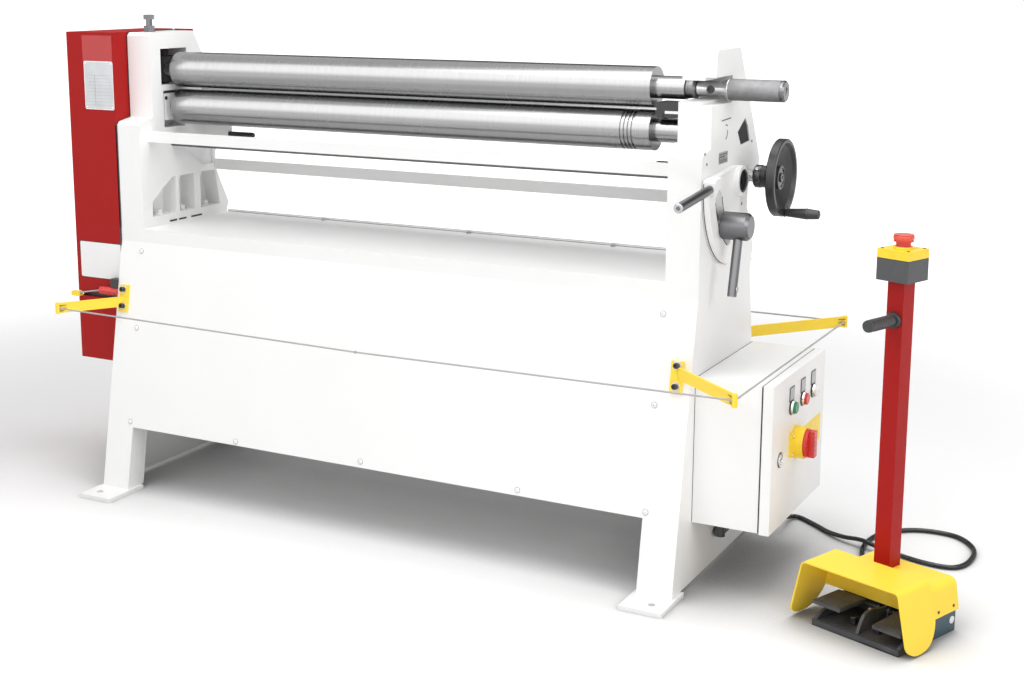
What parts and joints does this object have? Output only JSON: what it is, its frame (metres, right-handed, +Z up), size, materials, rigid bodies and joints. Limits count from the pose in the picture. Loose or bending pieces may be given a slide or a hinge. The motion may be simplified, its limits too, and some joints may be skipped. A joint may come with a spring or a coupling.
{
  "type": "plate rolling machine",
  "caption": "Motorised plate rolling machine: three rolls between end stands on a folded base, with trip rope, control box and foot pedal pedestal.",
  "frame": {"origin": "on the floor, in the middle of the four anchor holes of the machine's feet", "axes": "+X along the rolls towards the operating end, +Y to the rear, +Z up"},
  "size_m": [2.3141, 0.8208, 1.214],
  "materials": {
    "white_paint": "satin powder coat",
    "red_paint": "satin powder coat",
    "yellow_paint": "satin powder coat",
    "ground_steel": "ground",
    "dark_steel": "phosphated",
    "black_plastic": "matt",
    "dark_plastic": "matt",
    "red_plastic": "gloss",
    "green_plastic": "gloss",
    "white_plastic": "gloss",
    "yellow_plastic": "satin",
    "cable_rubber": "ribbed"
  },
  "bodies": {
    "machine": {"left_leg_frame": "white_paint", "right_leg_frame": "white_paint", "front_panel": "white_paint", "rear_panel": "white_paint", "base_top": "white_paint", "left_end_stand": "white_paint", "right_end_stand": "white_paint", "drive_cover": "red_paint", "drive_cover_lower": "red_paint", "drive_gearbox": "dark_steel", "front_tie_bar": "white_paint", "rear_tie_bar": "white_paint", "cross_shaft": "dark_steel", "slide_blocks": "dark_steel", "slide_pins": "dark_steel", "rear_roll": "ground_steel", "lower_bearing_block": "white_paint", "top_screw": "ground_steel", "roll_rest": "dark_steel", "clamp_stud": "ground_steel", "control_box": "white_paint", "rope_brackets": "yellow_paint", "trip_rope": "ground_steel", "pull_switch": "red_plastic", "pull_switch_base": "black_plastic", "rating_plate": "ground_steel", "pedal_base": "dark_plastic", "pedal_hood": "yellow_paint", "pole": "red_paint", "pole_handle": "dark_plastic", "stop_box": "dark_plastic", "stop_box_lid": "yellow_plastic", "foot_cable": "cable_rubber", "cable_glands": "black_plastic"},
    "pivot_block": {"top_roll_pivot_block": "dark_steel"},
    "top_roll": {"top_roll": "ground_steel", "release_handle": "ground_steel"},
    "bottom_roll": {"bottom_roll": "ground_steel"},
    "sector_lever": {"sector_lever": "white_paint", "sector_rod": "dark_steel", "lever_hub_cap": "black_plastic"},
    "clamp_nut": {"clamp_nut": "dark_steel"},
    "handwheel": {"handwheel": "black_plastic"},
    "crank_grip": {"crank_grip": "black_plastic"},
    "cabinet_door": {"cabinet_door": "white_paint", "power_lamp": "white_plastic", "switch_plate": "yellow_plastic"},
    "main_switch": {"main_switch": "red_plastic"},
    "start_button": {"start_button": "green_plastic"},
    "stop_button": {"stop_button": "red_plastic"},
    "emergency_stop": {"emergency_stop": "red_plastic"},
    "left_pedal": {"left_pedal": "dark_plastic"},
    "right_pedal": {"right_pedal": "dark_plastic"}
  },
  "joints": [
    {"name": "top_roll_swing", "type": "hinge", "parent": "machine", "child": "pivot_block", "pos_m": [-0.751, -0.021, 1.074], "axis": [0, 0, -1], "range_deg": [0, 10]},
    {"name": "top_roll_spin", "type": "hinge", "parent": "pivot_block", "child": "top_roll", "pos_m": [0, -0.021, 1.074], "axis": [1, 0, 0], "continuous": true},
    {"name": "bottom_roll_spin", "type": "hinge", "parent": "machine", "child": "bottom_roll", "pos_m": [0, -0.021, 0.979], "axis": [1, 0, 0], "continuous": true},
    {"name": "sector_lever_turn", "type": "hinge", "parent": "machine", "child": "sector_lever", "pos_m": [0.7885, 0.019, 0.874], "axis": [1, 0, 0], "range_deg": [-15, 15]},
    {"name": "clamp_turn", "type": "hinge", "parent": "machine", "child": "clamp_nut", "pos_m": [0.7885, -0.07538, 0.78902], "axis": [1, 0, 0], "range_deg": [-60, 45]},
    {"name": "handwheel_spin", "type": "hinge", "parent": "machine", "child": "handwheel", "pos_m": [0.7885, 0.104, 0.875], "axis": [1, 0, 0], "continuous": true},
    {"name": "crank_grip_spin", "type": "hinge", "parent": "handwheel", "child": "crank_grip", "pos_m": [0.7885, 0.104, 0.798], "axis": [1, 0, 0], "continuous": true},
    {"name": "cabinet_door_hinge", "type": "hinge", "parent": "machine", "child": "cabinet_door", "pos_m": [0.9415, 0.216, 0.3], "axis": [0, 0, 1], "range_deg": [0, 110]},
    {"name": "main_switch_turn", "type": "hinge", "parent": "cabinet_door", "child": "main_switch", "pos_m": [0.962, -0.014, 0.314], "axis": [1, 0, 0], "range_deg": [0, 90]},
    {"name": "start_button_press", "type": "slide", "parent": "cabinet_door", "child": "start_button", "axis": [-1, 0, 0], "range_m": [0, 0.004], "stiffness_N_per_m": 800},
    {"name": "stop_button_press", "type": "slide", "parent": "cabinet_door", "child": "stop_button", "axis": [-1, 0, 0], "range_m": [0, 0.004], "stiffness_N_per_m": 800},
    {"name": "emergency_stop_press", "type": "slide", "parent": "machine", "child": "emergency_stop", "axis": [0, 0, -1], "range_m": [0, 0.004], "stiffness_N_per_m": 1500},
    {"name": "left_pedal_press", "type": "hinge", "parent": "machine", "child": "left_pedal", "pos_m": [1.19972, -0.17009, 0.036], "axis": [0.9367, -0.3502, 0], "range_deg": [0, 10], "stiffness_Nm_per_rad": 60},
    {"name": "right_pedal_press", "type": "hinge", "parent": "machine", "child": "right_pedal", "pos_m": [1.19972, -0.17009, 0.036], "axis": [0.9367, -0.3502, 0], "range_deg": [0, 6], "stiffness_Nm_per_rad": 60}
  ],
  "couplings": [
    {"joint": "bottom_roll_spin", "follows": "top_roll_spin", "ratio": -1}
  ]
}
